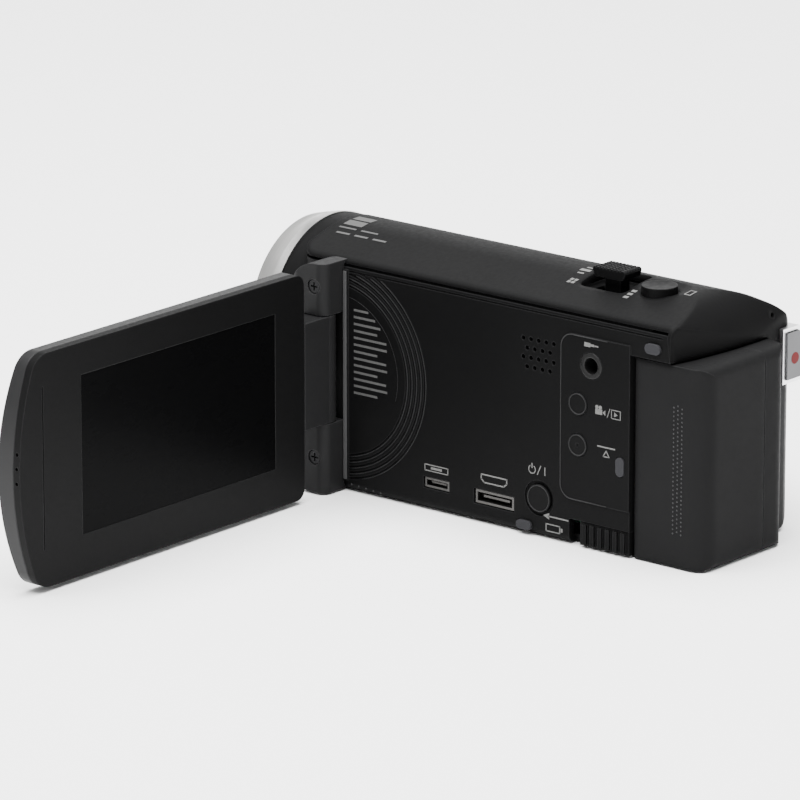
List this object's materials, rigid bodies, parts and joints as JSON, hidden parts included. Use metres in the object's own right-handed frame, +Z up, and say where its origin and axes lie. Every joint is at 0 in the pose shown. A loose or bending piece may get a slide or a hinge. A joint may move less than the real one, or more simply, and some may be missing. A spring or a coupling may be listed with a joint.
{
  "type": "camcorder",
  "caption": "Handheld camcorder with a round lens barrel, fold-out tilting display, rear battery pack, side ports and a grip belt.",
  "frame": {"origin": "centre of the tripod socket's mouth, on the underside", "axes": "+Z up, -Y towards the lens, +X towards the operator's left, where the display opens"},
  "size_m": [0.1574, 0.1203, 0.0562],
  "materials": {
    "body_plastic": "satin charcoal",
    "panel_plastic": "fine matte",
    "control_plastic": "satin",
    "battery_plastic": "satin dark grey",
    "silver_ring": "brushed",
    "steel": "plain",
    "dark_screw": "black",
    "brass_contact": "gold plated",
    "lens_glass": "coated",
    "screen": "gloss black",
    "white_plastic": "diffuser white",
    "board": "solder mask",
    "chassis_metal": "die cast",
    "speaker_grey": "plain",
    "cell_wrap": "film",
    "card_plastic": "plain",
    "pad_rubber": "grey",
    "belt_fabric": "woven"
  },
  "bodies": {
    "camera": {"top_cover": "body_plastic", "grip_cover": "body_plastic", "base_plate": "body_plastic", "bay_panel": "panel_plastic", "bay_wall": "panel_plastic", "battery_terminals": "brass_contact", "front_ring": "silver_ring", "lens_hood": "panel_plastic", "front_glass": "lens_glass", "lens_tube": "panel_plastic", "guide_rods": "steel", "zoom_motor": "steel", "sensor_block": "board", "chassis": "chassis_metal", "main_board": "board", "hdmi_port": "steel", "usb_port": "steel", "av_jack": "control_plastic", "speaker": "speaker_grey", "bracket_upper": "body_plastic", "bracket_lower": "body_plastic", "bracket_screws": "dark_screw", "base_screws": "dark_screw", "hinge_pins": "steel", "rec_trim": "silver_ring", "card_slot": "steel", "tripod_socket": "steel", "bumper_pads": "pad_rubber", "strap_anchors": "steel", "grip_belt": "belt_fabric"},
    "hinge_arm_body": {"hinge_arm": "body_plastic", "tilt_shaft": "steel"},
    "lid": {"lcd_bezel": "panel_plastic", "lcd_back": "body_plastic", "lcd_screen": "screen", "lcd_backlight": "white_plastic"},
    "zoom_lever_body": {"zoom_lever": "control_plastic"},
    "photo_button_body": {"photo_button": "control_plastic"},
    "rec_button_body": {"rec_button": "control_plastic"},
    "power_button_body": {"power_button": "control_plastic"},
    "mode_button_body": {"mode_button": "control_plastic"},
    "level_button_body": {"level_button": "control_plastic"},
    "latch": {"battery_latch": "control_plastic"},
    "battery": {"battery_case": "battery_plastic", "battery_plate": "battery_plastic", "battery_contacts": "brass_contact", "battery_cells": "cell_wrap"},
    "card": {"memory_card": "card_plastic"},
    "door": {"card_door": "body_plastic"},
    "shutter_up": {"shutter_upper": "panel_plastic"},
    "shutter_down": {"shutter_lower": "panel_plastic"},
    "zoom_group": {"zoom_carriage": "panel_plastic", "zoom_lens": "lens_glass"},
    "focus_group": {"focus_carriage": "panel_plastic", "focus_lens": "lens_glass"},
    "screw": {"lead_screw": "steel"}
  },
  "joints": [
    {"name": "display_open", "type": "hinge", "parent": "camera", "child": "hinge_arm_body", "pos_m": [0.0227, -0.027, 0.0254], "axis": [0, 0, 1], "range_deg": [0, 90]},
    {"name": "display_tilt", "type": "hinge", "parent": "hinge_arm_body", "child": "lid", "pos_m": [0.0318, -0.027, 0.0254], "axis": [1, 0, 0], "range_deg": [-90, 180]},
    {"name": "zoom_rock", "type": "slide", "parent": "camera", "child": "zoom_lever_body", "axis": [0, 1, 0], "range_m": [-0.0025, 0.0025], "stiffness_N_per_m": 300},
    {"name": "photo_press", "type": "slide", "parent": "camera", "child": "photo_button_body", "axis": [0, 0, -1], "range_m": [0, 0.0006], "stiffness_N_per_m": 400},
    {"name": "record_press", "type": "slide", "parent": "camera", "child": "rec_button_body", "axis": [0, -1, 0], "range_m": [0, 0.0007], "stiffness_N_per_m": 400},
    {"name": "power_press", "type": "slide", "parent": "camera", "child": "power_button_body", "axis": [-1, 0, 0], "range_m": [0, 0.0005], "stiffness_N_per_m": 400},
    {"name": "mode_press", "type": "slide", "parent": "camera", "child": "mode_button_body", "axis": [-1, 0, 0], "range_m": [0, 0.0005], "stiffness_N_per_m": 400},
    {"name": "level_press", "type": "slide", "parent": "camera", "child": "level_button_body", "axis": [-1, 0, 0], "range_m": [0, 0.0005], "stiffness_N_per_m": 400},
    {"name": "latch_slide", "type": "slide", "parent": "camera", "child": "latch", "axis": [0, -1, 0], "range_m": [0, 0.0025], "stiffness_N_per_m": 300},
    {"name": "battery_slide", "type": "slide", "parent": "camera", "child": "battery", "axis": [0, 1, 0], "range_m": [0, 0.03]},
    {"name": "card_push", "type": "slide", "parent": "camera", "child": "card", "axis": [0, 0, 1], "range_m": [0, 0.0008], "stiffness_N_per_m": 300},
    {"name": "door_open", "type": "hinge", "parent": "camera", "child": "door", "pos_m": [-0.0186, -0.008, 0.0029], "axis": [0, 1, 0], "range_deg": [0, 95]},
    {"name": "shutter_up_slide", "type": "slide", "parent": "camera", "child": "shutter_up", "axis": [0, 0, 1], "range_m": [-0.0052, 0]},
    {"name": "shutter_down_slide", "type": "slide", "parent": "camera", "child": "shutter_down", "axis": [0, 0, 1], "range_m": [0, 0.0052]},
    {"name": "zoom_slide", "type": "slide", "parent": "camera", "child": "zoom_group", "axis": [0, 1, 0], "range_m": [-0.003, 0.009]},
    {"name": "focus_slide", "type": "slide", "parent": "camera", "child": "focus_group", "axis": [0, 1, 0], "range_m": [0, 0.008]},
    {"name": "screw_turn", "type": "hinge", "parent": "camera", "child": "screw", "pos_m": [-0.0095, 0, 0.0327], "axis": [0, 1, 0], "range_deg": [-400, 1200]}
  ],
  "couplings": [
    {"joint": "shutter_down_slide", "follows": "shutter_up_slide", "ratio": -1},
    {"joint": "screw_turn", "follows": "zoom_slide", "rad_per_m": 2094.4}
  ]
}
